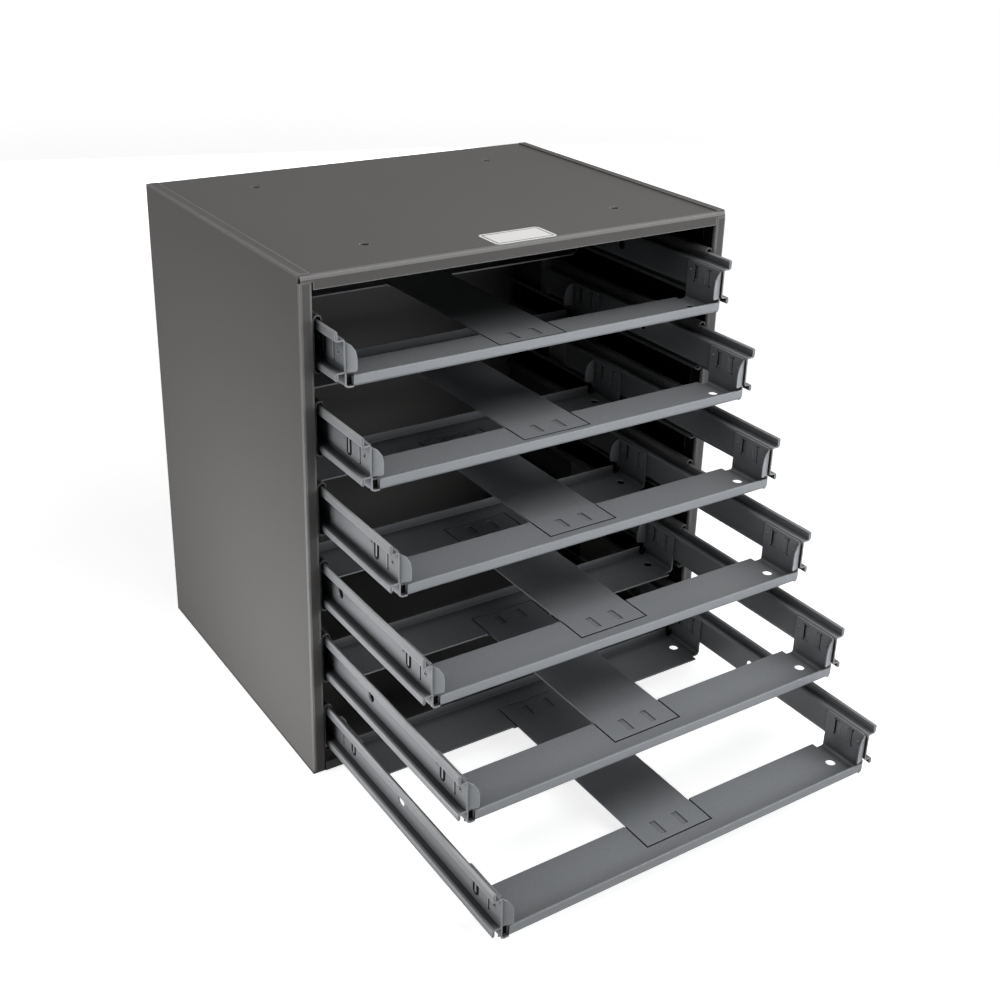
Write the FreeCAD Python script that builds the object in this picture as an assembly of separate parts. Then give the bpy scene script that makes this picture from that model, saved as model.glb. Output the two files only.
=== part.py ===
"""Open-front slide rack: a folded sheet-steel cabinet with six ball-bearing carriages.

Frame: millimetres, +Z up, the open front faces -Y, +X is the cabinet's right-hand side seen
from the front. The origin is the centre of the cabinet's underside.
"""
import FreeCAD, Part
import itertools
import math
import os

from FreeCAD import Vector

# ---- Driving dimensions
WIDTH = 387.0                  # cabinet, across its side panels
DEPTH = 298.0
PITCH = 64.5                   # height from one carriage to the next
TRAVEL_SHARES = (0.112, 0.264, 0.425, 0.611, 0.805, 0.991)   # how far out each stands, top first
SHEET = 1.2                    # every folded sheet
FOLD = 2.2                     # outside radius of a sharp fold
CHORD_ERROR = 0.36             # small rounds are drawn as chords, this close to the true arc
HOLE_SIDES = 12                # and so are the holes that repeat

# ---- Cabinet
LOWEST_CARRIAGE = 15.0         # underside of the lowest carriage's shelf
TOP_ROOM = 78.5                # from the top carriage's underside to the top of the cabinet
FLANGE_REACH = 10.4            # flanges of a side panel, seen from the front
RETURN_DEPTH = 15.0            # second fold of a side panel, which carries the slides
CORNER_NOTCH = 6.5             # the posts end this far below the cabinet's top
NOTCH_DEPTH = 2.6              # the top flange starts this far behind the front
TOP_LIP = 12.0                 # front lip of the top panel
TOP_LIP_FOLD = 3.0
SILL = 9.2                     # front lip of the bottom panel
SEAM = 0.4                     # gap beside a sheet that lies between two others
BOLT_HOLE_R = 3.75
BOLT_SPACING_X = 232.0
BOLT_SPACING_Y = 196.0

# ---- Slide, in section; heights are above the underside of its carriage
SLIDE_WIDTH = 11.1             # from the rail's inboard face to the channel's outboard face
CURL_WIDTH = 7.5               # outside width of a channel's rolled edges
CURL_LEG = 4.9                 # inner leg of a curl, from its crown
CURL_GAP = 2.3                 # between a rail's lip and the inside of the curl
WALL_GAP = 1.7                 # between a rail's lip and the channel's web
WEB_BOTTOM = 11.8
WEB_TOP = 36.8
LIP_BOTTOM = 6.6
LIP_TOP = 44.0
HEM = 2.4                      # a rail's lips are folded double
BALL_R = 0.85
CAGE_SHEET = 0.6
CAGE_FOLD = 1.2
CAGE_ROOM = 0.3                # between a ball and its pocket

# ---- Slide, along its length
CHANNEL_SETBACK = 2.0          # channel's front end behind the cabinet's front
CHANNEL_TAIL = 8.0             # channel's rear end before the cabinet's rear
CLOSED_SETBACK = 3.0           # a closed carriage sits this far behind the front
RAIL_END_ROOM = 4.0            # the rail is this much shorter than its channel
RAIL_LEAD = 1.4                # the rail starts this far ahead of the front ears
RAIL_TAIL = 46.0               # and runs on past the rear ears
RAIL_HOLE_R = 4.6
RAIL_HOLE_PLACE = 133.0        # behind the front ears
CAGE_LENGTH = 150.0
CAGE_SETBACK = 1.0             # behind the channel's end when its carriage is full out
BALL_PLACES = (6.0, 38.0)      # from the cage's front end, both still in the rail when full out

# ---- Carriage frame
SHELF_DEPTH = 46.0
PLATE_SETBACK = 5.0            # side plates end this far before the shelf does
PLATE_RELIEF = 8.0             # and so does the shelf's own corner, this far in from the plate
PLATE_TOP = 35.5
PLATE_FOLD = 3.0
PLATE_CORNER_R = 2.0
BAND_HEIGHT = 8.7
BAND_NOTCH = 6.8               # open end of the band
EAR_BOTTOM = 12.0
EAR_WIDTH = 8.9
EAR_FLARE = 15.0               # degrees that an ear leans outward
EAR_FOLD = 1.6                 # outside radius of the bend that carries an ear
EAR_TOP_R = 13.4
EAR_BOTTOM_R = 1.5
SHELF_HOLE_R = 4.1
SHELF_HOLE_INSET = 13.0        # from the side plate's outer face
SHELF_HOLE_SETBACK = 21.0      # from the ear plane
LANCE_HEIGHT = 26.6            # centre of a side plate's lances, above the shelf's underside
LANCE_LENGTH = 13.0            # upright
LANCE_WIDTH = 5.8              # along the plate
LANCE_DEPTH = 0.8              # at the open edge; the other edge is the hinge
REAR_LANCE = 31.8              # open edge behind the ear plane, with its hinge towards the ear
FRONT_LANCE = 12.9             # open edge, with its hinge away from the ear
LANCE_ROOM = 0.9               # clearance round a lance in the sheet that it locks
LANCE_SLIT = 2.4               # width of the slit in the rail over a front lance
STRIP_WIDTH = 60.0
STRIP_SETBACK = 20.0           # from the ear plane to the strip's end
STRIP_LANCE_X = 10.5
STRIP_LANCE_PLACE = 12.5       # centre, from the strip's end
STRIP_LANCE_WIDTH = 5.6
STRIP_LANCE_LENGTH = 15.0
STRIP_LANCE_DEPTH = 0.7
RECESS_ROOM = 1.6              # clearance round the strip's end in its recess

# ---- Values that follow
CARRIAGES = len(TRAVEL_SHARES)
HEIGHT = LOWEST_CARRIAGE + (CARRIAGES - 1) * PITCH + TOP_ROOM
FRONT = -DEPTH / 2
BACK = DEPTH / 2
HALF_WIDTH = WIDTH / 2
CHANNEL_FACE = HALF_WIDTH - FLANGE_REACH         # outboard face of a channel's web
CHANNEL_LENGTH = DEPTH - CHANNEL_SETBACK - CHANNEL_TAIL
RAIL_FACE = CHANNEL_FACE - SLIDE_WIDTH           # inboard face of a rail's web
RAIL_LENGTH = CHANNEL_LENGTH - RAIL_END_ROOM + RAIL_LEAD
BAY_LENGTH = RAIL_LENGTH - RAIL_LEAD - RAIL_TAIL  # from the front ear plane to the rear ear plane
TRAVEL = BAY_LENGTH + CHANNEL_SETBACK + CLOSED_SETBACK
LIP_OUTER = CHANNEL_FACE - SHEET - WALL_GAP
LIP_INNER = LIP_OUTER - HEM
CURL_TOP = LIP_TOP + CURL_GAP + SHEET
CURL_BOTTOM = LIP_BOTTOM - CURL_GAP - SHEET
BALL_X = CHANNEL_FACE - CURL_WIDTH / 2
BALL_ROWS = (LIP_BOTTOM - CURL_GAP / 2, LIP_TOP + CURL_GAP / 2)
PLATE_INNER = RAIL_FACE - SHEET
SHELF_END = RAIL_FACE - PLATE_FOLD
PLATE_DEPTH = SHELF_DEPTH - PLATE_SETBACK


# ---- Drawing helpers
def on_xz(y):
    return lambda u, v: Vector(u, y, v)


def on_yz(x):
    return lambda u, v: Vector(x, u, v)


def on_xy(z):
    return lambda u, v: Vector(u, v, z)


def rounded_corner(before, corner, after, radius):
    """Points along the round that replaces one corner of an outline."""
    point = Vector(corner[0], corner[1], 0)
    into = (Vector(before[0], before[1], 0) - point).normalize()
    out = (Vector(after[0], after[1], 0) - point).normalize()
    half_angle = into.getAngle(out) / 2
    turn = math.pi - 2 * half_angle
    chords = 1
    while radius * (1 - math.cos(turn / chords / 2)) > CHORD_ERROR:
        chords += 1
    centre = point + (into + out).normalize() * (radius / math.sin(half_angle))
    way = 1 if into.cross(out).z < 0 else -1
    spin = FreeCAD.Rotation(Vector(0, 0, way), math.degrees(turn / chords))
    arms = [point + into * (radius / math.tan(half_angle)) - centre]
    for _ in range(chords):
        arms.append(spin.multVec(arms[-1]))
    return [centre + arm for arm in arms]


def outline(corners, place):
    """Closed face through corners (u, v) or (u, v, radius)."""
    points = []
    for number, corner in enumerate(corners):
        if len(corner) == 2:
            points.append(Vector(corner[0], corner[1], 0))
        else:
            after = corners[(number + 1) % len(corners)]
            points += rounded_corner(corners[number - 1], corner, after, corner[2])
    loop = [place(point.x, point.y) for point in points]
    return Part.Face(Part.makePolygon(loop + loop[:1]))


def prism(corners, place, sweep):
    return outline(corners, place).extrude(sweep)


def box(low, high):
    size = Vector(*high) - Vector(*low)
    return Part.makeBox(size.x, size.y, size.z, Vector(*low))


def ring(radius, u, v):
    """Corners of the polygon that stands for a repeated round hole."""
    steps = [2 * math.pi * (side + 0.5) / HOLE_SIDES for side in range(HOLE_SIDES)]
    return [(u + radius * math.cos(angle), v + radius * math.sin(angle)) for angle in steps]


def joined(shapes):
    return shapes[0].fuse(shapes[1:]).removeSplitter()


def mirrored(shape):
    return shape.mirror(Vector(0, 0, 0), Vector(1, 0, 0))


def both_sides(shape):
    return [shape, mirrored(shape)]


def moved(shape, y=0.0, z=0.0):
    copy = shape.copy()
    copy.translate(Vector(0, y, z))
    return copy


# ---- Cabinet
def bolt_hole_cutters(z):
    cutters = []
    for x in (-BOLT_SPACING_X / 2, BOLT_SPACING_X / 2):
        for y in (-BOLT_SPACING_Y / 2, BOLT_SPACING_Y / 2):
            cutters.append(Part.makeCylinder(BOLT_HOLE_R, 3 * SHEET, Vector(x, y, z - SHEET)))
    return cutters


def right_side_panel():
    """Web, posts folded twice at the front and at the rear, and flanges top and bottom."""
    outer = HALF_WIDTH
    inner = outer - SHEET
    reach = CHANNEL_FACE
    reach_inner = reach + SHEET
    rear = BACK - SHEET
    front_return = FRONT + RETURN_DEPTH
    rear_return = rear - RETURN_DEPTH
    post_bottom = SHEET + FOLD
    post_top = HEIGHT - CORNER_NOTCH
    posts = prism([
        (outer, FRONT, FOLD), (outer, rear, FOLD), (reach, rear, FOLD), (reach, rear_return),
        (reach_inner, rear_return), (reach_inner, rear - SHEET), (inner, rear - SHEET),
        (inner, FRONT + SHEET), (reach_inner, FRONT + SHEET), (reach_inner, front_return),
        (reach, front_return), (reach, FRONT, FOLD),
    ], on_xy(post_bottom), Vector(0, 0, post_top - post_bottom))
    flange_start = FRONT + NOTCH_DEPTH
    length = Vector(0, rear - FRONT - 2 * NOTCH_DEPTH, 0)
    top = prism([
        (outer, post_top), (outer, HEIGHT, FOLD), (reach_inner, HEIGHT),
        (reach_inner, HEIGHT - SHEET), (inner, HEIGHT - SHEET), (inner, post_top),
    ], on_xz(flange_start), length)
    bottom = prism([
        (outer, post_bottom), (inner, post_bottom), (inner, 2 * SHEET),
        (reach_inner, 2 * SHEET), (reach_inner, SHEET), (outer, SHEET, FOLD),
    ], on_xz(flange_start), length)
    return joined([posts, top, bottom])


def top_panel():
    """Lies under the side panels' top flanges; its front is folded down between the posts."""
    face = HEIGHT - SHEET
    rear = BACK - SHEET
    lip_bottom = HEIGHT - TOP_LIP
    side = HALF_WIDTH - SHEET - SEAM
    between_posts = CHANNEL_FACE - SEAM
    panel = prism([
        (FRONT, lip_bottom), (FRONT, face, TOP_LIP_FOLD), (rear, face), (rear, face - SHEET),
        (FRONT + SHEET, face - SHEET, TOP_LIP_FOLD - SHEET), (FRONT + SHEET, lip_bottom),
    ], on_yz(-side), Vector(2 * side, 0, 0))
    beside_post = box((between_posts, FRONT - SEAM, lip_bottom - SEAM),
                      (side + SEAM, FRONT + NOTCH_DEPTH, HEIGHT - CORNER_NOTCH + SEAM))
    return panel.cut(both_sides(beside_post) + bolt_hole_cutters(face - SHEET))


def bottom_panel():
    """Floor sheet with the sill folded up between the posts."""
    side = HALF_WIDTH - SEAM
    between_posts = CHANNEL_FACE - SEAM
    sill = prism([
        (FRONT, SILL), (FRONT, 0, FOLD), (FRONT + RETURN_DEPTH, 0), (FRONT + RETURN_DEPTH, SHEET),
        (FRONT + SHEET, SHEET), (FRONT + SHEET, SILL),
    ], on_yz(-between_posts), Vector(2 * between_posts, 0, 0))
    floor = box((-side, FRONT + FOLD, 0), (side, BACK - SHEET, SHEET))
    return joined([floor, sill]).cut(bolt_hole_cutters(0))


def back_panel():
    side = HALF_WIDTH - SEAM
    return box((-side, BACK - SHEET, 0), (side, BACK, HEIGHT - SHEET))


# ---- Slides, drawn for the right-hand side in the carriage's own frame:
# y = 0 is the front end of a slide's piece and the front ear plane of a carriage's, and
# z = 0 the underside of the carriage
def right_rail():
    """Web with both edges stepped outboard, turned up and down, and hemmed."""
    web_outer = RAIL_FACE + SHEET
    tip = HEM / 2
    body = prism([
        (RAIL_FACE, WEB_BOTTOM, FOLD), (LIP_INNER, WEB_BOTTOM), (LIP_INNER, LIP_BOTTOM, tip),
        (LIP_OUTER, LIP_BOTTOM, tip), (LIP_OUTER, WEB_BOTTOM + SHEET, FOLD),
        (web_outer, WEB_BOTTOM + SHEET), (web_outer, WEB_TOP - SHEET),
        (LIP_OUTER, WEB_TOP - SHEET, FOLD), (LIP_OUTER, LIP_TOP, tip), (LIP_INNER, LIP_TOP, tip),
        (LIP_INNER, WEB_TOP), (RAIL_FACE, WEB_TOP, FOLD),
    ], on_xz(-RAIL_LEAD), Vector(0, RAIL_LENGTH, 0))
    through = Vector(3 * SHEET, 0, 0)
    start = on_yz(RAIL_FACE - SHEET)
    middle = (WEB_BOTTOM + WEB_TOP) / 2
    cutters = [prism(ring(RAIL_HOLE_R, RAIL_HOLE_PLACE, middle), start, through)]
    half_length = LANCE_LENGTH / 2 + LANCE_ROOM
    windows = [(REAR_LANCE - LANCE_WIDTH, REAR_LANCE + LANCE_ROOM),
               (FRONT_LANCE, FRONT_LANCE + LANCE_SLIT)]
    windows += [(BAY_LENGTH - high, BAY_LENGTH - low) for low, high in windows]
    for low, high in windows:
        cutters.append(box((RAIL_FACE - SHEET, low, LANCE_HEIGHT - half_length),
                           (web_outer + SHEET, high, LANCE_HEIGHT + half_length)))
    return body.cut(cutters)


def right_channel():
    """Outer slide member: a web with both edges rolled over the rail's lips."""
    outer = CHANNEL_FACE
    inner = outer - CURL_WIDTH
    crown = CURL_WIDTH / 2
    inside = crown - SHEET
    return prism([
        (outer, CURL_BOTTOM, crown), (outer, CURL_TOP, crown), (inner, CURL_TOP, crown),
        (inner, CURL_TOP - CURL_LEG), (inner + SHEET, CURL_TOP - CURL_LEG),
        (inner + SHEET, CURL_TOP - SHEET, inside), (outer - SHEET, CURL_TOP - SHEET, inside),
        (outer - SHEET, CURL_BOTTOM + SHEET, inside), (inner + SHEET, CURL_BOTTOM + SHEET, inside),
        (inner + SHEET, CURL_BOTTOM + CURL_LEG), (inner, CURL_BOTTOM + CURL_LEG),
        (inner, CURL_BOTTOM, crown),
    ], on_xz(0), Vector(0, CHANNEL_LENGTH, 0))


def right_cage():
    """Thin strip between rail and channel whose two edges hold the balls in open pockets."""
    wall = LIP_OUTER + (WALL_GAP + CAGE_SHEET) / 2
    edge = BALL_X - BALL_R
    bottom = BALL_ROWS[0] - CAGE_SHEET / 2
    top = BALL_ROWS[1] + CAGE_SHEET / 2
    strip = prism([
        (wall, bottom, CAGE_FOLD), (wall, top, CAGE_FOLD), (edge, top), (edge, top - CAGE_SHEET),
        (wall - CAGE_SHEET, top - CAGE_SHEET, CAGE_FOLD - CAGE_SHEET),
        (wall - CAGE_SHEET, bottom + CAGE_SHEET, CAGE_FOLD - CAGE_SHEET),
        (edge, bottom + CAGE_SHEET), (edge, bottom),
    ], on_xz(0), Vector(0, CAGE_LENGTH, 0))
    half = BALL_R + CAGE_ROOM
    cutters = []
    for y in BALL_PLACES:
        for height in BALL_ROWS:
            cutters.append(box((edge - half, y - half, height - CAGE_SHEET),
                               (BALL_X + BALL_R, y + half, height + CAGE_SHEET)))
    return strip.cut(cutters)


def faceted_ball(centre):
    """Icosahedron that stands for one bearing ball."""
    golden = (1 + math.sqrt(5)) / 2
    scale = BALL_R / math.hypot(1, golden)
    corners = []
    for short, long in itertools.product((-1, 1), (-golden, golden)):
        corners += [Vector(0, short, long), Vector(short, long, 0), Vector(long, 0, short)]
    faces = []
    for trio in itertools.combinations(corners, 3):
        if all(a.distanceToPoint(b) < 2.1 for a, b in itertools.combinations(trio, 2)):
            loop = [centre + corner * scale for corner in trio]
            faces.append(Part.Face(Part.makePolygon(loop + loop[:1])))
    return Part.Solid(Part.Shell(faces))


def right_balls():
    return [faceted_ball(Vector(BALL_X, y, height)) for y in BALL_PLACES for height in BALL_ROWS]


# ---- Carriage frame, in the same frame; pieces of one end are drawn for the right-hand side
def plate_lance(face, open_edge, hinge):
    """Wedge on one face of a side plate, where a tongue is pressed outboard from its hinge."""
    corners = [(face, hinge), (face, open_edge), (face + LANCE_DEPTH, open_edge)]
    return prism(corners, on_xy(LANCE_HEIGHT - LANCE_LENGTH / 2), Vector(0, 0, LANCE_LENGTH))


def ear():
    """Front tongue of a side plate, folded inward and left leaning outward."""
    lean = math.radians(EAR_FLARE)
    across = Vector(-math.cos(lean), -math.sin(lean), 0)
    thick = Vector(-math.sin(lean), math.cos(lean), 0) * SHEET
    bend = math.tan((math.pi / 2 - lean) / 2)
    corner = Vector(RAIL_FACE, EAR_FOLD * (1 - bend), 0)
    tip = corner + across * (EAR_WIDTH / math.cos(lean))
    tip_inner = tip + thick
    along = (corner.x + thick.x - PLATE_INNER) / math.cos(lean)
    corner_inner = corner + thick + across * along
    blank = prism([
        (RAIL_FACE, FOLD), (PLATE_INNER, FOLD), (corner_inner.x, corner_inner.y),
        (tip_inner.x, tip_inner.y), (tip.x, tip.y), (corner.x, corner.y, EAR_FOLD),
    ], on_xy(EAR_BOTTOM), Vector(0, 0, PLATE_TOP - EAR_BOTTOM))
    beyond = tip.x + EAR_TOP_R + SHEET
    trim = prism([
        (beyond, EAR_BOTTOM), (beyond, PLATE_TOP), (tip.x, PLATE_TOP, EAR_TOP_R),
        (tip.x, EAR_BOTTOM, EAR_BOTTOM_R),
    ], on_xz(-EAR_WIDTH), Vector(0, 2 * EAR_WIDTH, 0))
    return blank.common(trim)


def side_plate():
    """Upright end of a cross member, with the fold that joins it to the shelf."""
    plate = prism([
        (0, PLATE_FOLD), (PLATE_DEPTH, PLATE_FOLD), (PLATE_DEPTH, PLATE_TOP, PLATE_CORNER_R),
        (FOLD, PLATE_TOP), (FOLD, EAR_BOTTOM), (0, EAR_BOTTOM),
    ], on_yz(PLATE_INNER), Vector(SHEET, 0, 0))
    fold = prism([
        (SHELF_END, 0), (RAIL_FACE, 0, PLATE_FOLD), (RAIL_FACE, PLATE_FOLD),
        (PLATE_INNER, PLATE_FOLD), (PLATE_INNER, SHEET, PLATE_FOLD - SHEET), (SHELF_END, SHEET),
    ], on_xz(0), Vector(0, PLATE_DEPTH, 0))
    return [plate, fold, plate_lance(RAIL_FACE, REAR_LANCE, REAR_LANCE - LANCE_WIDTH)]


def cross_member():
    """Shelf with an upstanding band at its outer edge and a side plate at each end.

    The band stops short of the left end. The same stamping serves front and rear.
    """
    band_start = BAND_NOTCH - RAIL_FACE
    shelf = box((-SHELF_END, FOLD, 0), (SHELF_END, SHELF_DEPTH, SHEET))
    bare_edge = box((-SHELF_END, 0, 0), (band_start, FOLD, SHEET))
    band = prism([
        (0, BAND_HEIGHT), (0, 0, FOLD), (2 * FOLD, 0), (2 * FOLD, SHEET), (SHEET, SHEET),
        (SHEET, BAND_HEIGHT),
    ], on_yz(band_start), Vector(SHELF_END - band_start, 0, 0))
    band_end = prism([
        (SHELF_END, 0), (RAIL_FACE, 0, PLATE_FOLD), (RAIL_FACE, BAND_HEIGHT),
        (SHELF_END, BAND_HEIGHT),
    ], on_xz(0), Vector(0, SHEET, 0))
    well_side = STRIP_WIDTH / 2 + RECESS_ROOM
    well_start = STRIP_SETBACK - RECESS_ROOM
    recess = box((-well_side - SHEET, well_start - SHEET, -SHEET),
                 (well_side + SHEET, SHELF_DEPTH, SHEET))
    right_end = joined(side_plate() + [ear()])
    blank = joined([shelf, bare_edge, band, band_end, recess] + both_sides(right_end))

    well = box((-well_side, well_start, 0), (well_side, SHELF_DEPTH + SHEET, 2 * SHEET))
    hole = prism(ring(SHELF_HOLE_R, RAIL_FACE - SHELF_HOLE_INSET, SHELF_HOLE_SETBACK),
                 on_xy(-SHEET), Vector(0, 0, 3 * SHEET))
    relief = box((RAIL_FACE - PLATE_RELIEF, PLATE_DEPTH, -SHEET),
                 (RAIL_FACE, SHELF_DEPTH + SHEET, 2 * SHEET))
    hollows = [plate_lance(PLATE_INNER, REAR_LANCE, REAR_LANCE - LANCE_WIDTH),
               plate_lance(PLATE_INNER, FRONT_LANCE, FRONT_LANCE + LANCE_WIDTH)]
    window = strip_lance(STRIP_LANCE_X, STRIP_SETBACK + STRIP_LANCE_PLACE, -2 * SHEET, SHEET,
                         LANCE_ROOM)
    cutters = [well]
    for cutter in [hole, relief, window] + hollows:
        cutters += both_sides(cutter)
    return blank.cut(cutters)


def strip_lance(x, y, low, high, room=0.0):
    """Block through a centre strip where one of its tongues is pressed down."""
    half_width = STRIP_LANCE_WIDTH / 2 + room
    half_length = STRIP_LANCE_LENGTH / 2 + room
    return box((x - half_width, y - half_length, low), (x + half_width, y + half_length, high))


def centre_strip():
    """Flat strap from shelf to shelf, locked by two lances at each end."""
    start = STRIP_SETBACK
    end = BAY_LENGTH - STRIP_SETBACK
    strap = box((-STRIP_WIDTH / 2, start, 0), (STRIP_WIDTH / 2, end, SHEET))
    tongues = []
    hollows = []
    for x in (-STRIP_LANCE_X, STRIP_LANCE_X):
        for y in (start + STRIP_LANCE_PLACE, end - STRIP_LANCE_PLACE):
            tongues.append(strip_lance(x, y, -STRIP_LANCE_DEPTH, SHEET))
            hollows.append(strip_lance(x, y, SHEET - STRIP_LANCE_DEPTH, 2 * SHEET))
    return joined([strap] + tongues).cut(hollows)


# ---- Whole product
def cabinet_nodes():
    side_panel = right_side_panel()
    return {
        "side_panel_right": side_panel, "side_panel_left": mirrored(side_panel),
        "top_panel": top_panel(), "bottom_panel": bottom_panel(), "back_panel": back_panel(),
    }


def carriage_pieces():
    """Pieces that slide out together, with the front ends at y = 0."""
    rail = right_rail()
    front_member = cross_member()
    rear_member = front_member.copy()
    rear_member.rotate(Vector(0, BAY_LENGTH / 2, 0), Vector(0, 0, 1), 180)
    return {
        "rail_right": rail, "rail_left": mirrored(rail), "front_member": front_member,
        "rear_member": rear_member, "centre_strip": centre_strip(),
    }


def rolling_pieces():
    """Pieces that roll along at half the carriage's speed."""
    balls = right_balls()
    return {
        "cages": Part.makeCompound(both_sides(right_cage())),
        "balls": Part.makeCompound(balls + [mirrored(ball) for ball in balls]),
    }


def main():
    nodes = cabinet_nodes()
    channel = right_channel()
    carriage = carriage_pieces()
    rolling = rolling_pieces()
    for number, share in enumerate(TRAVEL_SHARES, start=1):
        base = LOWEST_CARRIAGE + (CARRIAGES - number) * PITCH
        carriage_y = FRONT + CLOSED_SETBACK - share * TRAVEL
        rolling_y = FRONT + CHANNEL_SETBACK + CAGE_SETBACK + (1 - share) * TRAVEL / 2
        for name, shape in carriage.items():
            nodes[f"carriage_{number}_{name}"] = moved(shape, carriage_y, base)
        for name, shape in rolling.items():
            nodes[f"slide_{number}_{name}"] = moved(shape, rolling_y, base)
        for name, shape in (("right", channel), ("left", mirrored(channel))):
            place = FRONT + CHANNEL_SETBACK
            nodes[f"slide_{number}_channel_{name}"] = moved(shape, place, base)

    os.makedirs("parts", exist_ok=True)
    for name, shape in nodes.items():
        shape.exportStep(f"parts/{name}.step")


main()
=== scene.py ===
import math

import bmesh
import bpy
from mathutils import Matrix, Quaternion, Vector


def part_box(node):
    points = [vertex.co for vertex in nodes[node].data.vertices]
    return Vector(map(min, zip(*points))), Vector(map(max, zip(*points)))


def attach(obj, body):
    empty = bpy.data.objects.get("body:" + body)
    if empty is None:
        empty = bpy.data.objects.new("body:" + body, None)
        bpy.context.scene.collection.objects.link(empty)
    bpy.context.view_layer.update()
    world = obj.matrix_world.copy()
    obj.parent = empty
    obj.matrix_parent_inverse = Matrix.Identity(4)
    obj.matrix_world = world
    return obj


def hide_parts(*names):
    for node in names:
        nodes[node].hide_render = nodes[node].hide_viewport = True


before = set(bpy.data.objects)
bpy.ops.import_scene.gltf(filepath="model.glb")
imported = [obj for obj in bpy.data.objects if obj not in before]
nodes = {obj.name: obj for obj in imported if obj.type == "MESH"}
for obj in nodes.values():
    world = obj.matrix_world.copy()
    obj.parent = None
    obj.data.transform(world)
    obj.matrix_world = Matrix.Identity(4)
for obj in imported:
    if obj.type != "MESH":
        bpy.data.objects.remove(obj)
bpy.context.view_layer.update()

slideCount = 6
cabinetLow = Vector(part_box("side_panel_left")[0])
cabinetHigh = Vector(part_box("side_panel_right")[1])
cabinetHigh.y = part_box("back_panel")[1].y
print("rack loaded:", len(nodes), "nodes")


# shared node groups

effectSettings = {
    "bevelSamples": 4, "shadeSamples": 6, "edgeGain": 7.0, "edgeNoise": 160.0, "slantGain": 4.0,
    "softEdge": 0.0004, "bumpStrength": 0.6, "wideFade": 1.4, "foldFade": 2.2,
    "peelDetail": 3.0, "driftDetail": 4.0, "plainDetail": 2.0,
}


def newGroup(name, inputs, outputs):
    group = bpy.data.node_groups.new(name, "ShaderNodeTree")
    for label, kind, value in inputs:
        socket = group.interface.new_socket(name=label, in_out="INPUT", socket_type=kind)
        if value is not None:
            socket.default_value = value
    for label, kind in outputs:
        group.interface.new_socket(name=label, in_out="OUTPUT", socket_type=kind)
    return group, group.nodes.new("NodeGroupInput"), group.nodes.new("NodeGroupOutput")


def addMath(tree, operation, a, b):
    node = tree.nodes.new("ShaderNodeMath")
    node.operation = operation
    for socket, value in zip(node.inputs, (a, b)):
        if isinstance(value, (int, float)):
            socket.default_value = value
        else:
            tree.links.new(value, socket)
    return node.outputs[0]


def addVectorMath(tree, operation, a, b=None):
    node = tree.nodes.new("ShaderNodeVectorMath")
    node.operation = operation
    tree.links.new(a, node.inputs[0])
    if b is not None:
        tree.links.new(b, node.inputs[1])
    return node.outputs["Value" if operation in ("DOT_PRODUCT", "LENGTH") else "Vector"]


def addLargest(tree, vector):
    split = tree.nodes.new("ShaderNodeSeparateXYZ")
    tree.links.new(vector, split.inputs["Vector"])
    wide = addMath(tree, "MAXIMUM", split.outputs["X"], split.outputs["Y"])
    return addMath(tree, "MAXIMUM", wide, split.outputs["Z"])


def addNoise(tree, place, scale, detail=effectSettings["plainDetail"]):
    noise = tree.nodes.new("ShaderNodeTexNoise")
    noise.inputs["Detail"].default_value = detail
    tree.links.new(place, noise.inputs["Vector"])
    if isinstance(scale, (int, float)):
        noise.inputs["Scale"].default_value = scale
    else:
        tree.links.new(scale, noise.inputs["Scale"])
    return noise.outputs["Fac"]


def buildPaintFilm():
    # orange peel, a slow drift of tone and a finish that is duller in patches
    group, inside, outside = newGroup(
        "paintFilm",
        [("Vector", "NodeSocketVector", None), ("Peel Size", "NodeSocketFloat", 420.0),
         ("Drift Size", "NodeSocketFloat", 9.0), ("Roughness", "NodeSocketFloat", 0.42),
         ("Patchiness", "NodeSocketFloat", 0.08)],
        [("Tone", "NodeSocketFloat"), ("Roughness", "NodeSocketFloat"),
         ("Height", "NodeSocketFloat")])
    place = inside.outputs["Vector"]
    peel = addNoise(group, place, inside.outputs["Peel Size"], effectSettings["peelDetail"])
    drift = addNoise(group, place, inside.outputs["Drift Size"], effectSettings["driftDetail"])
    centred = addMath(group, "SUBTRACT", drift, 0.5)
    patch = addMath(group, "MULTIPLY", centred, inside.outputs["Patchiness"])
    tone = addMath(group, "ADD", patch, 1.0)
    rough = addMath(group, "ADD", patch, inside.outputs["Roughness"])
    group.links.new(tone, outside.inputs["Tone"])
    group.links.new(rough, outside.inputs["Roughness"])
    group.links.new(peel, outside.inputs["Height"])
    return group


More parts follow.
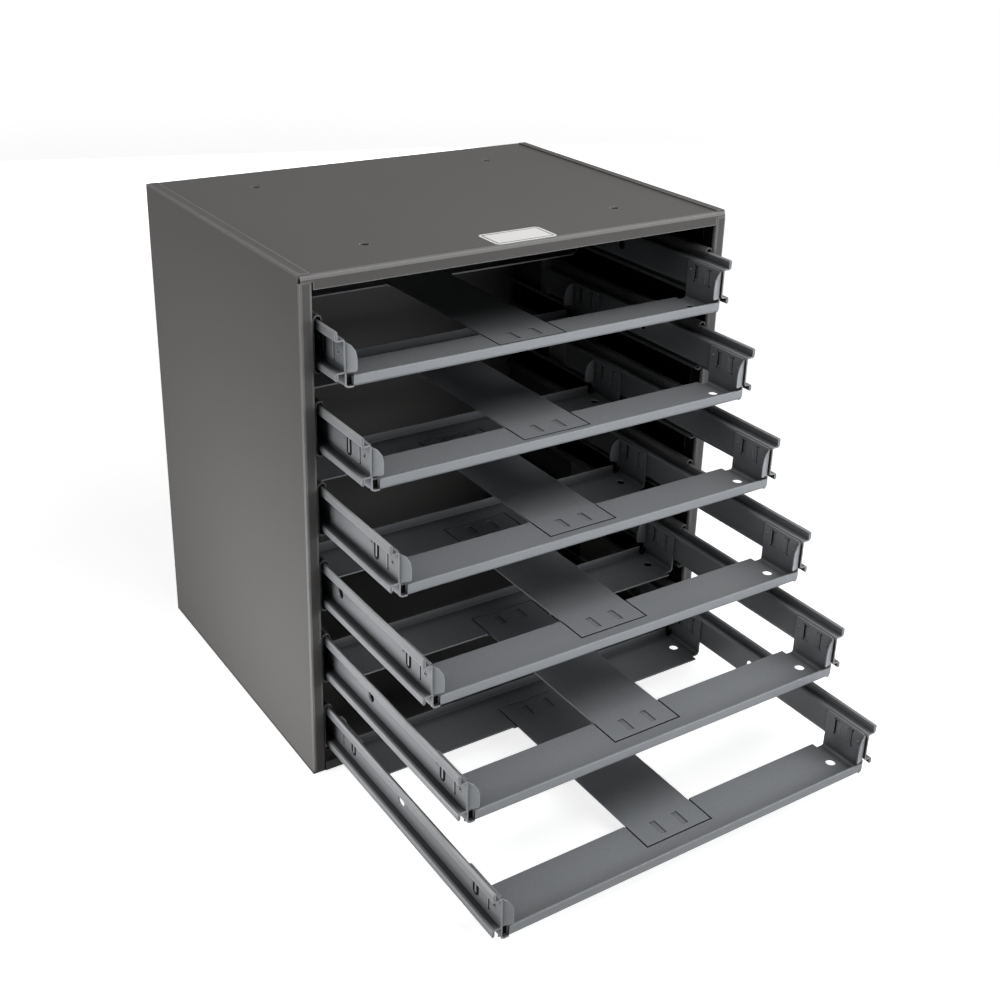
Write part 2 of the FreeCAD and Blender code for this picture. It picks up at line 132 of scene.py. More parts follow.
def buildEdgeThin():
    # painted highlight and wear: 1 on a sharp edge, where thin, worn paint and the light caught by
    # the edge are both painted lighter; "Fold" on the round of a folded sheet, where the light
    # caught by the fold is a painted highlight
    group, inside, outside = newGroup(
        "edgeWearAndHighlight",
        [("Vector", "NodeSocketVector", None), ("Radius", "NodeSocketFloat", 0.0008),
         ("Fold", "NodeSocketFloat", 0.5)],
        [("Mask", "NodeSocketFloat")])
    bevel = group.nodes.new("ShaderNodeBevel")
    bevel.samples = effectSettings["bevelSamples"]
    group.links.new(inside.outputs["Radius"], bevel.inputs["Radius"])
    flat = group.nodes.new("ShaderNodeNewGeometry").outputs["True Normal"]
    turn = addMath(group, "SUBTRACT", 1.0,
                   addVectorMath(group, "DOT_PRODUCT", bevel.outputs["Normal"], flat))
    noise = addNoise(group, inside.outputs["Vector"], effectSettings["edgeNoise"])
    broken = addMath(group, "ADD", noise, 0.5)
    strong = addMath(group, "MULTIPLY", turn, effectSettings["edgeGain"])
    edge = addMath(group, "MINIMUM", addMath(group, "MULTIPLY", strong, broken), 1.0)
    # the sheets lie square to the axes, so a face that doesn't is part of a fold and takes the
    # painted fold highlight
    square = addLargest(group, addVectorMath(group, "ABSOLUTE", flat))
    slant = addMath(group, "SUBTRACT", 1.0, square)
    slant = addMath(group, "MULTIPLY", slant, effectSettings["slantGain"])
    fold = addMath(group, "MULTIPLY", addMath(group, "MINIMUM", slant, 1.0), inside.outputs["Fold"])
    group.links.new(addMath(group, "MAXIMUM", edge, fold), outside.inputs["Mask"])
    return group


def buildCreaseShade():
    # shade that gathers in folds and deep inside the rack: 0 in the open, up to Depth in a corner
    group, inside, outside = newGroup(
        "creaseShade",
        [("Reach", "NodeSocketFloat", 0.1), ("Fold Reach", "NodeSocketFloat", 0.008),
         ("Depth", "NodeSocketFloat", 0.8)],
        [("Mask", "NodeSocketFloat")])
    openness = []
    for reach, fade in (("Reach", "wideFade"), ("Fold Reach", "foldFade")):
        hollow = group.nodes.new("ShaderNodeAmbientOcclusion")
        hollow.samples = effectSettings["shadeSamples"]
        group.links.new(inside.outputs[reach], hollow.inputs["Distance"])
        openness.append(addMath(group, "POWER", hollow.outputs["AO"], effectSettings[fade]))
    closed = addMath(group, "SUBTRACT", 1.0, addMath(group, "MULTIPLY", *openness))
    mask = addMath(group, "MULTIPLY", closed, inside.outputs["Depth"])
    group.links.new(mask, outside.inputs["Mask"])
    return group


def buildBoxInside():
    # 1 inside a box given by its middle and half size, 0 outside it
    group, inside, outside = newGroup(
        "boxInside",
        [("Vector", "NodeSocketVector", None), ("Middle", "NodeSocketVector", (0, 0, 0.2)),
         ("Half Size", "NodeSocketVector", (0.1, 0.1, 0.1))],
        [("Mask", "NodeSocketFloat")])
    offset = addVectorMath(group, "SUBTRACT", inside.outputs["Vector"], inside.outputs["Middle"])
    over = addVectorMath(group, "SUBTRACT", addVectorMath(group, "ABSOLUTE", offset),
                         inside.outputs["Half Size"])
    furthest = addLargest(group, over)
    group.links.new(addMath(group, "LESS_THAN", furthest, 0.0), outside.inputs["Mask"])
    return group


paintFilm = buildPaintFilm()
edgeWearAndHighlight = buildEdgeThin()
creaseShade = buildCreaseShade()
boxInside = buildBoxInside()


# finishes

# in each finish the edge colour is that of worn edges together with the painted highlight on sharp
# edges and folds, and the fold number sets how strong the painted fold highlight is
cabinetFinish = {
    "colour": (0.126, 0.121, 0.118), "edge": (0.52, 0.52, 0.52), "roughness": 0.42, "gloss": 0.025,
    "peelSize": 380.0, "peel": 0.00012, "drift": 7.0, "patchiness": 0.10, "edgeRadius": 0.0011,
    "reach": 0.12, "depth": 0.92, "fold": 0.85, "insideShadeTone": 0.12,
    "skin": (0.0009, 0.0036, 0.0034),
}
channelFinish = {
    "colour": (0.115, 0.116, 0.119), "edge": (0.42, 0.42, 0.42), "roughness": 0.40, "gloss": 0.06,
    "peelSize": 420.0, "peel": 0.00010, "drift": 12.0, "patchiness": 0.08, "edgeRadius": 0.0008,
    "reach": 0.06, "depth": 0.85, "fold": 0.4,
}
railFinish = {
    "colour": (0.248, 0.257, 0.270), "edge": (0.60, 0.605, 0.61), "roughness": 0.36, "gloss": 0.28,
    "peelSize": 420.0, "peel": 0.00010, "drift": 12.0, "patchiness": 0.08, "edgeRadius": 0.0008,
    "reach": 0.08, "depth": 0.82, "fold": 0.5,
}
carriageFinish = {
    "colour": (0.385, 0.400, 0.422), "edge": (0.60, 0.605, 0.61), "roughness": 0.36, "gloss": 0.28,
    "peelSize": 420.0, "peel": 0.00010, "drift": 12.0, "patchiness": 0.08, "edgeRadius": 0.0008,
    "reach": 0.16, "depth": 0.88, "fold": 0.5,
}
# near-black painted shade for slits, holes, pits and hollows that lie in shade
slitShadeFinish = {
    "colour": (0.012, 0.012, 0.013), "edge": (0.02, 0.02, 0.02), "roughness": 0.6, "gloss": 0.03,
    "peelSize": 420.0, "peel": 0.00005, "drift": 30.0, "patchiness": 0.2, "edgeRadius": 0.0002,
    "reach": 0.01, "depth": 0.5, "fold": 0.2,
}


def makePaint(name, finish):
    paint = bpy.data.materials.new(name)
    paint.use_nodes = True
    tree = paint.node_tree
    shader = tree.nodes["Principled BSDF"]
    shader.inputs["Specular IOR Level"].default_value = finish["gloss"]
    place = tree.nodes.new("ShaderNodeTexCoord").outputs["Object"]
    film = tree.nodes.new("ShaderNodeGroup")
    film.node_tree = paintFilm
    film.inputs["Peel Size"].default_value = finish["peelSize"]
    film.inputs["Drift Size"].default_value = finish["drift"]
    film.inputs["Roughness"].default_value = finish["roughness"]
    film.inputs["Patchiness"].default_value = finish["patchiness"]
    tree.links.new(place, film.inputs["Vector"])
    # painted highlight and wear: sharp edges and fold rounds are mixed towards the edge colour
    edgeWearHighlight = tree.nodes.new("ShaderNodeGroup")
    edgeWearHighlight.node_tree = edgeWearAndHighlight
    edgeWearHighlight.inputs["Radius"].default_value = finish["edgeRadius"]
    edgeWearHighlight.inputs["Fold"].default_value = finish["fold"]
    tree.links.new(place, edgeWearHighlight.inputs["Vector"])
    body = tree.nodes.new("ShaderNodeHueSaturation")
    body.inputs["Color"].default_value = (*finish["colour"], 1)
    crease = tree.nodes.new("ShaderNodeGroup")
    crease.node_tree = creaseShade
    crease.inputs["Reach"].default_value = finish["reach"]
    crease.inputs["Depth"].default_value = finish["depth"]
    shade, tone = crease.outputs["Mask"], film.outputs["Tone"]
    # the painted edge and fold highlight is held back where the painted crease shade lies
    wearAndHighlight = addMath(tree, "MULTIPLY", edgeWearHighlight.outputs["Mask"], addMath(tree, "SUBTRACT", 1.0, shade))
    if "insideShadeTone" in finish:
        # painted shade: inside the cabinet the colour is darkened to the inside share set in the
        # finish, and the painted crease shade falls only there
        within = tree.nodes.new("ShaderNodeGroup")
        within.node_tree = boxInside
        within.inputs["Middle"].default_value = (cabinetLow + cabinetHigh) / 2
        half = (cabinetHigh - cabinetLow) / 2 - Vector(finish["skin"])
        within.inputs["Half Size"].default_value = half
        tree.links.new(place, within.inputs["Vector"])
        shade = addMath(tree, "MULTIPLY", shade, within.outputs["Mask"])
        paintedInsideShade = addMath(tree, "MULTIPLY", within.outputs["Mask"], 1.0 - finish["insideShadeTone"])
        tone = addMath(tree, "MULTIPLY", tone, addMath(tree, "SUBTRACT", 1.0, paintedInsideShade))
    lit = addMath(tree, "SUBTRACT", 1.0, shade)
    tree.links.new(addMath(tree, "MULTIPLY", tone, lit), body.inputs["Value"])
    blend = tree.nodes.new("ShaderNodeMix")
    blend.data_type = "RGBA"
    tree.links.new(wearAndHighlight, blend.inputs["Factor"])
    tree.links.new(body.outputs["Color"], blend.inputs["A"])
    blend.inputs["B"].default_value = (*finish["edge"], 1)
    tree.links.new(blend.outputs["Result"], shader.inputs["Base Color"])
    tree.links.new(film.outputs["Roughness"], shader.inputs["Roughness"])
    bevel = tree.nodes.new("ShaderNodeBevel")
    bevel.samples = effectSettings["bevelSamples"]
    bevel.inputs["Radius"].default_value = effectSettings["softEdge"]
    bump = tree.nodes.new("ShaderNodeBump")
    bump.inputs["Distance"].default_value = finish["peel"]
    bump.inputs["Strength"].default_value = effectSettings["bumpStrength"]
    tree.links.new(film.outputs["Height"], bump.inputs["Height"])
    tree.links.new(bevel.outputs["Normal"], bump.inputs["Normal"])
    tree.links.new(bump.outputs["Normal"], shader.inputs["Normal"])
    return paint


cageFinish = {"colour": (0.42, 0.42, 0.41), "darkest": 0.85, "toneSpan": 0.3, "smoothest": 0.26,
              "roughSpan": 0.16, "grain": (30.0, 900.0, 900.0)}
ballFinish = {"colour": (0.62, 0.62, 0.61), "smoothest": 0.07, "roughSpan": 0.14, "tarnish": 700.0}


def makeCageSteel(name, finish):
    steel = bpy.data.materials.new(name)
    steel.use_nodes = True
    tree = steel.node_tree
    shader = tree.nodes["Principled BSDF"]
    shader.inputs["Metallic"].default_value = 1.0
    place = tree.nodes.new("ShaderNodeTexCoord").outputs["Object"]
    stretch = tree.nodes.new("ShaderNodeMapping")
    stretch.inputs["Scale"].default_value = finish["grain"]
    tree.links.new(place, stretch.inputs["Vector"])
    grain = addNoise(tree, stretch.outputs["Vector"], 1.0)
    tone = tree.nodes.new("ShaderNodeHueSaturation")
    tone.inputs["Color"].default_value = (*finish["colour"], 1)
    span = addMath(tree, "MULTIPLY", grain, finish["toneSpan"])
    value = addMath(tree, "ADD", span, finish["darkest"])
    tree.links.new(value, tone.inputs["Value"])
    tree.links.new(tone.outputs["Color"], shader.inputs["Base Color"])
    span = addMath(tree, "MULTIPLY", grain, finish["roughSpan"])
    rough = addMath(tree, "ADD", span, finish["smoothest"])
    tree.links.new(rough, shader.inputs["Roughness"])
    return steel


def makeBallSteel(name, finish):
    steel = bpy.data.materials.new(name)
    steel.use_nodes = True
    tree = steel.node_tree
    shader = tree.nodes["Principled BSDF"]
    shader.inputs["Metallic"].default_value = 1.0
    shader.inputs["Base Color"].default_value = (*finish["colour"], 1)
    place = tree.nodes.new("ShaderNodeTexCoord").outputs["Object"]
    haze = addNoise(tree, place, finish["tarnish"])
    span = addMath(tree, "MULTIPLY", haze, finish["roughSpan"])
    rough = addMath(tree, "ADD", span, finish["smoothest"])
    tree.links.new(rough, shader.inputs["Roughness"])
    return steel


slotMaterials = {
    "cabinet_paint": makePaint("cabinetPaint", cabinetFinish),
    "channel_paint": makePaint("channelPaint", channelFinish),
    "rail_paint": makePaint("railPaint", railFinish),
    "carriage_paint": makePaint("carriagePaint", carriageFinish),
    "cage_steel": makeCageSteel("cageSteel", cageFinish),
    "ball_steel": makeBallSteel("ballSteel", ballFinish),
}


def slotOf(name):
    if name.endswith("_panel") or name.startswith("side_panel"):
        return "cabinet_paint"
    if "_channel_" in name:
        return "channel_paint"
    if "_rail_" in name:
        return "rail_paint"
    if name.endswith("_cages"):
        return "cage_steel"
    if name.endswith("_balls"):
        return "ball_steel"
    return "carriage_paint"


for name, part in nodes.items():
    finish = slotMaterials[slotOf(name)]
    if not part.material_slots:
        part.data.materials.append(finish)
    for place in part.material_slots:
        place.material = finish
print("finishes on", len(nodes), "nodes")


# pieces of the scene

def finishPiece(name, mesh, slot, body):
    mesh.normal_update()
    data = bpy.data.meshes.new(name)
    mesh.to_mesh(data)
    mesh.free()
    data.materials.append(slotMaterials[slot])
    piece = bpy.data.objects.new(name, data)
    bpy.context.scene.collection.objects.link(piece)
    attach(piece, body)
    return piece


ballSet = {"radius": 0.00085, "rounds": 14, "segments": 20, "weld": 1e-6}


def smoothBalls(number):
    # true round balls where the cages hold them
    source = bmesh.new()
    source.from_mesh(nodes[f"slide_{number}_balls"].data)
    bmesh.ops.remove_doubles(source, verts=source.verts, dist=ballSet["weld"])
    centres, left = [], dict.fromkeys(source.verts)
    while left:
        group, front = [], [left.popitem()[0]]
        while front:
            vert = front.pop()
            group.append(vert)
            for edge in vert.link_edges:
                other = edge.other_vert(vert)
                if other in left:
                    del left[other]
                    front.append(other)
        centres.append(sum((v.co for v in group), Vector()) / len(group))
    source.free()
    balls = bmesh.new()
    for centre in centres:
        bmesh.ops.create_uvsphere(balls, u_segments=ballSet["segments"],
                                  v_segments=ballSet["rounds"], radius=ballSet["radius"],
                                  matrix=Matrix.Translation(centre))
    for face in balls.faces:
        face.smooth = True
    piece = finishPiece(f"slide_{number}_ball_set", balls, "ball_steel", f"rolling_{number}")
    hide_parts(f"slide_{number}_balls")


for number in range(1, slideCount + 1):
    smoothBalls(number)
print("balls in their cages")


# slits, relief holes, pits and the hollows behind the bands are painted near-black: painted shade
slotMaterials["pierced"] = makePaint("piercedShade", slitShadeFinish)
# metres; "at" places run back from the ear plane, heights run up from the shelf's underside
lanceSet = {
    "rear": (0.0318, 0.0260), "front": (0.0129, 0.0187), "middle": 0.0266, "half": 0.0065,
    "slit": 0.0008, "slitProud": 0.000088, "slitSink": 0.0002, "slitSoft": 0.00005,
    "lip": 0.0007, "proud": 0.00022, "lipSink": 0.0003, "endGap": 0.0004, "endLip": 0.0008,
    "relief": 0.0009, "reliefGap": 0.0003, "reliefHeight": 0.00025,
    "hinge": 0.0006, "hingeSoft": 0.00016,
}
dentSet = {
    "places": ((0.0375, 0.0283, 0.0012), (0.0070, 0.0266, 0.0014)), "height": 0.0005,
    "ringGrow": 1.15, "wire": 0.0004, "pitShare": 0.8, "pitHeight": 0.0002, "pitSink": 0.0001,
}
slotSet = {
    "at": (0.0268, 0.0336), "ends": (0.0180, 0.0352), "rim": 0.0006, "rimHeight": 0.0003,
    "cornerShare": 0.45, "cornerSteps": 5, "floorHeight": 0.00006,
    "flapAt": (0.0292, 0.0310), "flapInset": 0.002, "flapHeight": 0.0002,
    "slitAt": (0.0129, 0.0143), "slitEnds": (0.0186, 0.0342), "sink": 0.0001, "slitSoft": 0.00002,
    "lip": 0.0008, "lipHeight": 0.0002, "reliefGrow": 1.1, "reliefHeight": 0.0002,
}
notchShadeSet = {
    "from": 0.1718, "to": 0.1652, "back": 0.0032, "thick": 0.0004, "foot": 0.0013, "top": 0.0084,
    "soft": 0.00005,
}
memberSet = {"plate": 0.1708, "web": 0.1732, "span": 0.238, "lead": 0.0014}
barSet = {"soften": 0.00012, "thinnest": 0.3}
domeSet = {"segments": 12, "rounds": 6}
ringSet = {"segments": 6, "steps": 14}


def earPlaneOf(number):
    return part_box(f"carriage_{number}_rail_left")[0].y + memberSet["lead"]


def sillOf(number, end):
    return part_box(f"carriage_{number}_{end}_member")[0].z


def edgesOf(verts):
    # in the same order on every run
    return list(dict.fromkeys(edge for vert in verts for edge in vert.link_edges))


def facesSince(mesh, known):
    return [face for face in mesh.faces if face not in known]


def addBar(mesh, low, high, tone, soften=barSet["soften"]):
    # a thin bar with eased edges
    known = set(mesh.faces)
    low, high = Vector(map(min, low, high)), Vector(map(max, low, high))
    made = bmesh.ops.create_cube(mesh, size=1.0, matrix=Matrix.Translation((low + high) / 2)
                                 @ Matrix.Diagonal((high - low).to_4d()))
    width = min(soften, min(high - low) * barSet["thinnest"])
    bmesh.ops.bevel(mesh, geom=edgesOf(made["verts"]), offset=width, segments=1, profile=0.5,
                    affect="EDGES", material=-1)
    for face in facesSince(mesh, known):
        face.material_index = tone


def addDome(mesh, centre, radius, height, tone):
    # a low round bump, half sunk in the sheet
    known = set(mesh.faces)
    bmesh.ops.create_uvsphere(mesh, u_segments=domeSet["segments"], v_segments=domeSet["rounds"],
                              radius=radius, matrix=Matrix.Translation(centre)
                              @ Matrix.Diagonal((height / radius, 1, 1, 1)))
    for face in facesSince(mesh, known):
        face.material_index = tone
        face.smooth = True


def addRing(mesh, centre, radius, wire, tone):
    # the raised lip round a dent, in the plane of a side plate
    known = set(mesh.faces)
    start = bmesh.ops.create_circle(mesh, cap_ends=False, segments=ringSet["segments"], radius=wire,
                                    matrix=Matrix.Translation(centre + Vector((0, radius, 0))))
    bmesh.ops.spin(mesh, geom=start["verts"] + edgesOf(start["verts"]), cent=centre,
                   axis=(1, 0, 0), angle=2 * math.pi, steps=ringSet["steps"], use_merge=True)
    fresh = facesSince(mesh, known)
    bmesh.ops.recalc_face_normals(mesh, faces=fresh)
    for face in fresh:
        face.material_index = tone
        face.smooth = True


def addSlot(mesh, low, high, rim, side):
    # a round-ended slot in a rail's web: raised rim and a dark floor, near-black painted shade for
    # the shaded depth of the window
    known = set(mesh.faces)
    middle, size = (low + high) / 2, high - low
    made = bmesh.ops.create_grid(mesh, x_segments=1, y_segments=1, size=0.5,
                                 matrix=Matrix.Translation(middle)
                                 @ Matrix.Diagonal((1, size.y, size.z, 1))
                                 @ Matrix.Rotation(math.pi / 2, 4, "Y"))
    bmesh.ops.bevel(mesh, geom=made["verts"], offset=abs(size.y) * slotSet["cornerShare"],
                    segments=slotSet["cornerSteps"], profile=0.5, affect="VERTICES", material=-1)
    floor = facesSince(mesh, known)
    bmesh.ops.recalc_face_normals(mesh, faces=floor)
    if floor[0].normal.x * side < 0:
        bmesh.ops.reverse_faces(mesh, faces=floor)
    ring = bmesh.ops.inset_region(mesh, faces=floor, thickness=rim, use_even_offset=True)["faces"]
    raised = bmesh.ops.extrude_face_region(mesh, geom=ring)
    crest = [item for item in raised["geom"] if isinstance(item, bmesh.types.BMVert)]
    bmesh.ops.translate(mesh, verts=crest, vec=(side * slotSet["rimHeight"], 0, 0))
    for face in facesSince(mesh, known):
        face.material_index = 0
    for face in floor:
        face.material_index = 1
    sunk = list(dict.fromkeys(vert for face in floor for vert in face.verts))
    bmesh.ops.translate(mesh, verts=sunk, vec=(side * slotSet["floorHeight"], 0, 0))


def fillNotch(number, end):
    # painted shade: a thin near-black sheet stands in the hollow behind the open end of the band,
    # where there is only shade
    settings, sill = notchShadeSet, sillOf(number, end)
    turn = 1 if end == "front" else -1
    start = earPlaneOf(number) if end == "front" else earPlaneOf(number) + memberSet["span"]
    near = start + turn * settings["back"]
    far = start + turn * (settings["back"] + settings["thick"])
    hollow = bmesh.new()
    addBar(hollow, Vector((-turn * settings["from"], near, sill + settings["foot"])),
           Vector((-turn * settings["to"], far, sill + settings["top"])), 0, settings["soft"])
    piece = finishPiece(f"carriage_{number}_{end}_band_hollow", hollow, "carriage_paint",
                        f"carriage_{number}")
    piece.data.materials[0] = slotMaterials["pierced"]


def addLance(mesh, at, openEdge, hinge):
    # seen from inside: the slit at the open edge, the sheared ends and the soft fold at the hinge;
    # the slits and the relief holes at their ends are near-black bars and domes, painted shade
    settings, plate = lanceSet, memberSet["plate"]
    low, high = settings["middle"] - settings["half"], settings["middle"] + settings["half"]
    away = 1 if openEdge > hinge else -1
    slitFace, slitBack = plate - settings["slitProud"], plate + settings["slitSink"]
    lipFace, lipBack = plate - settings["proud"], plate + settings["lipSink"]
    addBar(mesh, at(slitFace, openEdge, low),
           at(slitBack, openEdge - away * settings["slit"], high), 1, settings["slitSoft"])
    addBar(mesh, at(lipFace, openEdge + away * settings["lip"], low),
           at(lipBack, openEdge, high), 0)
    for height, grow in ((low, -1), (high, 1)):
        gap, lip = height + grow * settings["endGap"], height + grow * settings["endLip"]
        addBar(mesh, at(slitFace, openEdge, height),
               at(slitBack, hinge + away * settings["slit"], gap), 1, settings["slitSoft"])
        addBar(mesh, at(lipFace, openEdge, gap), at(lipBack, hinge, lip), 0)
        addDome(mesh, at(plate, openEdge, height + grow * settings["reliefGap"]),
                settings["relief"], settings["reliefHeight"], 1)
    addBar(mesh, at(lipFace, hinge - away * settings["hinge"], low), at(lipBack, hinge, high), 0,
           settings["hingeSoft"])


def addDents(mesh, at):
    plate, web = memberSet["plate"], memberSet["web"]
    # each dent: a dome on the side plate, a ring on the rail's web, and a near-black dome in its
    # middle, painted shade in the pit
    for along, height, radius in dentSet["places"]:
        addDome(mesh, at(plate, along, height), radius, dentSet["height"], 0)
        addRing(mesh, at(web, along, height), radius * dentSet["ringGrow"], dentSet["wire"], 0)
        addDome(mesh, at(web - dentSet["pitSink"], along, height), radius * dentSet["pitShare"],
                dentSet["pitHeight"], 1)


def addWebMarks(mesh, at, side):
    # seen from outside: the slot over the rear lance with the lance in it, the front lance's slit;
    # the front slit and the relief holes at its ends are near-black, painted shade
    settings, web = slotSet, memberSet["web"]
    near, far = settings["at"]
    foot, head = settings["ends"]
    addSlot(mesh, at(web, near, foot), at(web, far, head), settings["rim"], side)
    addBar(mesh, at(web, settings["flapAt"][0], foot + settings["flapInset"]),
           at(web + settings["flapHeight"], settings["flapAt"][1], head - settings["flapInset"]), 0)
    near, far = settings["slitAt"]
    foot, head = settings["slitEnds"]
    addBar(mesh, at(web - settings["sink"], near, foot),
           at(web + settings["floorHeight"], far, head), 1, settings["slitSoft"])
    addBar(mesh, at(web - settings["sink"], far, foot),
           at(web + settings["lipHeight"], far + settings["lip"], head), 0)
    relief = lanceSet["relief"] * settings["reliefGrow"]
    for height in (foot, head):
        addDome(mesh, at(web, (near + far) / 2, height), relief, settings["reliefHeight"], 1)


def dressPlates(number, end):
    # lances, dents and slots on the side plates and rails at one end of a carriage
    earPlane, sill = earPlaneOf(number), sillOf(number, end)
    marks = bmesh.new()
    for side in (-1, 1):
        def at(x, along, height):
            y = earPlane + along if end == "front" else earPlane + memberSet["span"] - along
            return Vector((side * x, y, sill + height))

        for openEdge, hinge in (lanceSet["rear"], lanceSet["front"]):
            addLance(marks, at, openEdge, hinge)
        addDents(marks, at)
        addWebMarks(marks, at, side)
    piece = finishPiece(f"carriage_{number}_{end}_plate_marks", marks, "carriage_paint",
                        f"carriage_{number}")
    # the second material is near-black painted shade in the slits, holes and pits
    piece.data.materials.append(slotMaterials["pierced"])


for number in range(1, slideCount + 1):
    for end in ("front", "rear"):
        dressPlates(number, end)
        fillNotch(number, end)
print("lances and dents on the side plates")


# "drop": the top panel's face lies this far below the side panels' flanges
labelSet = {
    "middle": (-0.0024, -0.1313), "size": (0.0556, 0.0292), "drop": 0.0012, "thick": 0.00018,
    "corner": 0.0040, "cornerSteps": 5, "margin": 0.0021, "line": 0.0012,
    "white": (0.93, 0.925, 0.91), "ink": (0.012, 0.012, 0.012),
    "film": {"Peel Size": 900.0, "Drift Size": 40.0, "Roughness": 0.35, "Patchiness": 0.06},
}


def makeLabelStock(name, colour):
    stock = bpy.data.materials.new(name)
    stock.use_nodes = True
    tree = stock.node_tree
    shader = tree.nodes["Principled BSDF"]
    place = tree.nodes.new("ShaderNodeTexCoord").outputs["Object"]
    film = tree.nodes.new("ShaderNodeGroup")
    film.node_tree = paintFilm
    for label, value in labelSet["film"].items():
        film.inputs[label].default_value = value
    tree.links.new(place, film.inputs["Vector"])
    tone = tree.nodes.new("ShaderNodeHueSaturation")
    tone.inputs["Color"].default_value = (*colour, 1)
    tree.links.new(film.outputs["Tone"], tone.inputs["Value"])
    tree.links.new(tone.outputs["Color"], shader.inputs["Base Color"])
    tree.links.new(film.outputs["Roughness"], shader.inputs["Roughness"])
    return stock


def layLabel():
    # a blank sticker with a thin border line, near the front of the top
    settings = labelSet
    top = cabinetHigh.z - settings["drop"]
    label = bmesh.new()
    bmesh.ops.create_grid(label, x_segments=1, y_segments=1, size=0.5,
                          matrix=Matrix.Translation((*settings["middle"], top))
                          @ Matrix.Diagonal((*settings["size"], 1, 1)))
    bmesh.ops.bevel(label, geom=list(label.verts), offset=settings["corner"],
                    segments=settings["cornerSteps"], profile=0.5, affect="VERTICES", material=-1)
    raised = bmesh.ops.extrude_face_region(label, geom=list(label.faces))
    verts = [item for item in raised["geom"] if isinstance(item, bmesh.types.BMVert)]
    bmesh.ops.translate(label, verts=verts, vec=(0, 0, settings["thick"]))
    bmesh.ops.recalc_face_normals(label, faces=list(label.faces))
    face = [item for item in raised["geom"] if isinstance(item, bmesh.types.BMFace)]
    bmesh.ops.inset_region(label, faces=face, thickness=settings["margin"], use_even_offset=True)
    line = bmesh.ops.inset_region(label, faces=face, thickness=settings["line"],
                                  use_even_offset=True)
    for ring in line["faces"]:
        ring.material_index = 1
    piece = finishPiece("blank_label", label, "cabinet_paint", "cabinet")
    piece.data.materials[0] = makeLabelStock("labelStock", settings["white"])
    piece.data.materials.append(makeLabelStock("labelLine", settings["ink"]))


layLabel()
print("label on the top")


# floor, lights and camera

floorSettings = {
    "size": 12.0, "drop": -0.0004, "tone": 0.75, "roughness": 0.9,
    "near": 0.9, "nearGlow": 0.80, "far": 3.2, "farGlow": 1.0,
}
lightSettings = {
    "right": {"place": (2.0, -0.2, 0.8), "aim": (0.0, 0.0, 0.2), "size": (1.0, 1.0),
              "watts": 8.0, "tint": (1.0, 1.0, 1.0)},
    "left": {"place": (-2.1, 0.0, 0.7), "aim": (0.0, 0.0, 0.2), "size": (1.2, 1.2),
             "watts": 11.0, "tint": (1.0, 1.0, 1.0)},
    "lowLeft": {"place": (-0.52, -0.11, 0.08), "aim": (-0.19, -0.11, 0.06), "size": (0.2, 0.1),
                "watts": 1.0, "tint": (1.0, 1.0, 1.0)},
    "above": {"place": (0.12, -0.62, 1.25), "aim": (0.05, -0.2, 0.3), "size": (0.7, 0.7),
              "watts": 8.0, "tint": (1.0, 0.995, 0.985)},
    "behind": {"place": (0.6, 2.0, 0.21), "aim": (0.0, 0.1, 0.21), "size": (1.4, 0.36),
               "watts": 10.0, "tint": (1.0, 1.0, 1.0)},
    "nearFront": {"place": (0.35, -1.3, 0.6), "aim": (0.05, -0.3, 0.15), "size": (0.5, 0.5),
                  "watts": 1.2, "tint": (0.95, 0.98, 1.0)},
    "lowFront": {"place": (0.45, -1.15, 0.35), "aim": (0.05, -0.35, 0.12), "size": (0.4, 0.3),
                 "watts": 3.6, "tint": (0.95, 0.98, 1.0)},
}
cameraSettings = {
    "azimuth": -33.844, "elevation": 23.27, "roll": 1.715, "aim": (-0.02549, -0.149, 0.27375),
    "distance": 1.0645, "lens": 49.0, "sensor": 36.0, "shift": -0.08,
}


def whiteSeen(tree):
    # 1 where the eye, polished metal or a pane sees the studio
    path = tree.nodes.new("ShaderNodeLightPath").outputs
    straight = addMath(tree, "MAXIMUM", path["Is Camera Ray"], path["Is Transmission Ray"])
    return addMath(tree, "MAXIMUM", straight, path["Is Glossy Ray"])


def floorGlow(tree):
    # the floor shows its own shadow near the rack and fades into the backdrop further out
    place = tree.nodes.new("ShaderNodeTexCoord").outputs["Object"]
    reach = addVectorMath(tree, "LENGTH", place)
    fade = tree.nodes.new("ShaderNodeMapRange")
    fade.interpolation_type = "SMOOTHSTEP"
    for label, setting in (("From Min", "near"), ("From Max", "far"),
                           ("To Min", "nearGlow"), ("To Max", "farGlow")):
        fade.inputs[label].default_value = floorSettings[setting]
    tree.links.new(reach, fade.inputs["Value"])
    return addMath(tree, "MULTIPLY", whiteSeen(tree), fade.outputs["Result"])


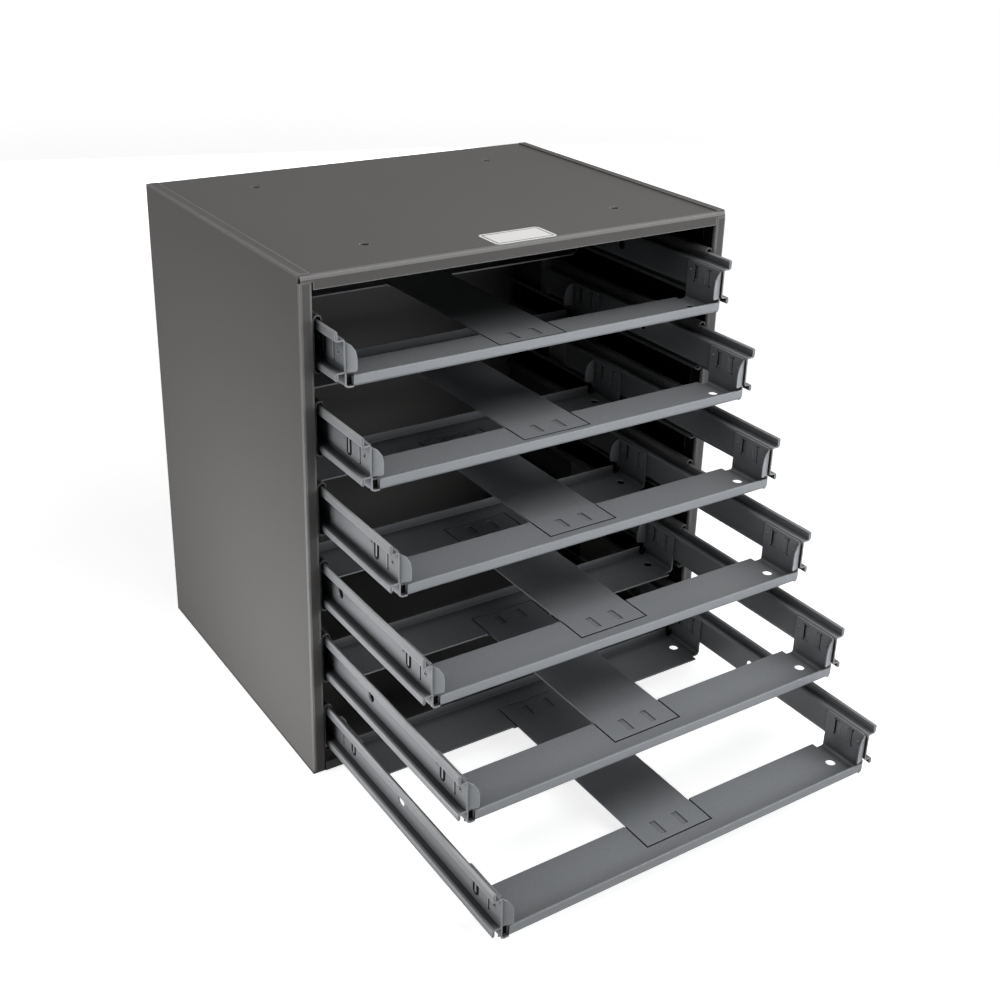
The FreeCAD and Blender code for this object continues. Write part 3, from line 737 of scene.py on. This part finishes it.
def layFloor():
    sheet = bmesh.new()
    bmesh.ops.create_grid(sheet, x_segments=4, y_segments=4, size=floorSettings["size"],
                          matrix=Matrix.Translation((0, 0, floorSettings["drop"])))
    data = bpy.data.meshes.new("studioFloor")
    sheet.to_mesh(data)
    sheet.free()
    white = bpy.data.materials.new("studioWhite")
    white.use_nodes = True
    tree = white.node_tree
    shader = tree.nodes["Principled BSDF"]
    shader.inputs["Base Color"].default_value = (floorSettings["tone"],) * 3 + (1,)
    shader.inputs["Roughness"].default_value = floorSettings["roughness"]
    shader.inputs["Specular IOR Level"].default_value = 0.0
    light = tree.nodes.new("ShaderNodeEmission")
    tree.links.new(floorGlow(tree), light.inputs["Strength"])
    both = tree.nodes.new("ShaderNodeAddShader")
    tree.links.new(shader.outputs[0], both.inputs[0])
    tree.links.new(light.outputs[0], both.inputs[1])
    tree.links.new(both.outputs[0], tree.nodes["Material Output"].inputs["Surface"])
    data.materials.append(white)
    floor = bpy.data.objects.new("studioFloor", data)
    bpy.context.scene.collection.objects.link(floor)


def lightWorld():
    world = bpy.data.worlds.new("studioAir")
    bpy.context.scene.world = world
    world.use_nodes = True
    tree = world.node_tree
    back = tree.nodes["Background"]
    back.inputs["Color"].default_value = (1, 1, 1, 1)
    tree.links.new(whiteSeen(tree), back.inputs["Strength"])


def hangLight(name, settings):
    lamp = bpy.data.lights.new(name, "AREA")
    lamp.shape = "RECTANGLE"
    lamp.size, lamp.size_y = settings["size"]
    lamp.energy = settings["watts"]
    lamp.color = settings["tint"]
    holder = bpy.data.objects.new(name, lamp)
    bpy.context.scene.collection.objects.link(holder)
    holder.location = settings["place"]
    back = Vector(settings["place"]) - Vector(settings["aim"])
    holder.rotation_euler = back.to_track_quat("Z", "Y").to_euler()


def placeCamera():
    view = bpy.data.cameras.new("frontLeft")
    view.sensor_width = cameraSettings["sensor"]
    view.lens = cameraSettings["lens"]
    view.shift_y = cameraSettings["shift"]
    holder = bpy.data.objects.new("frontLeft", view)
    bpy.context.scene.collection.objects.link(holder)
    turn = math.radians(cameraSettings["azimuth"])
    rise = math.radians(cameraSettings["elevation"])
    roll = Quaternion((0, 0, 1), math.radians(cameraSettings["roll"]))
    back = Vector((math.sin(turn) * math.cos(rise), -math.cos(turn) * math.cos(rise),
                   math.sin(rise)))
    holder.location = Vector(cameraSettings["aim"]) + back * cameraSettings["distance"]
    holder.rotation_euler = (back.to_track_quat("Z", "Y") @ roll).to_euler()
    bpy.context.scene.camera = holder


layFloor()
lightWorld()
for name, settings in lightSettings.items():
    hangLight(name + "Light", settings)
placeCamera()
bpy.context.scene.view_settings.view_transform = "Standard"
print("floor, lights and camera are up")
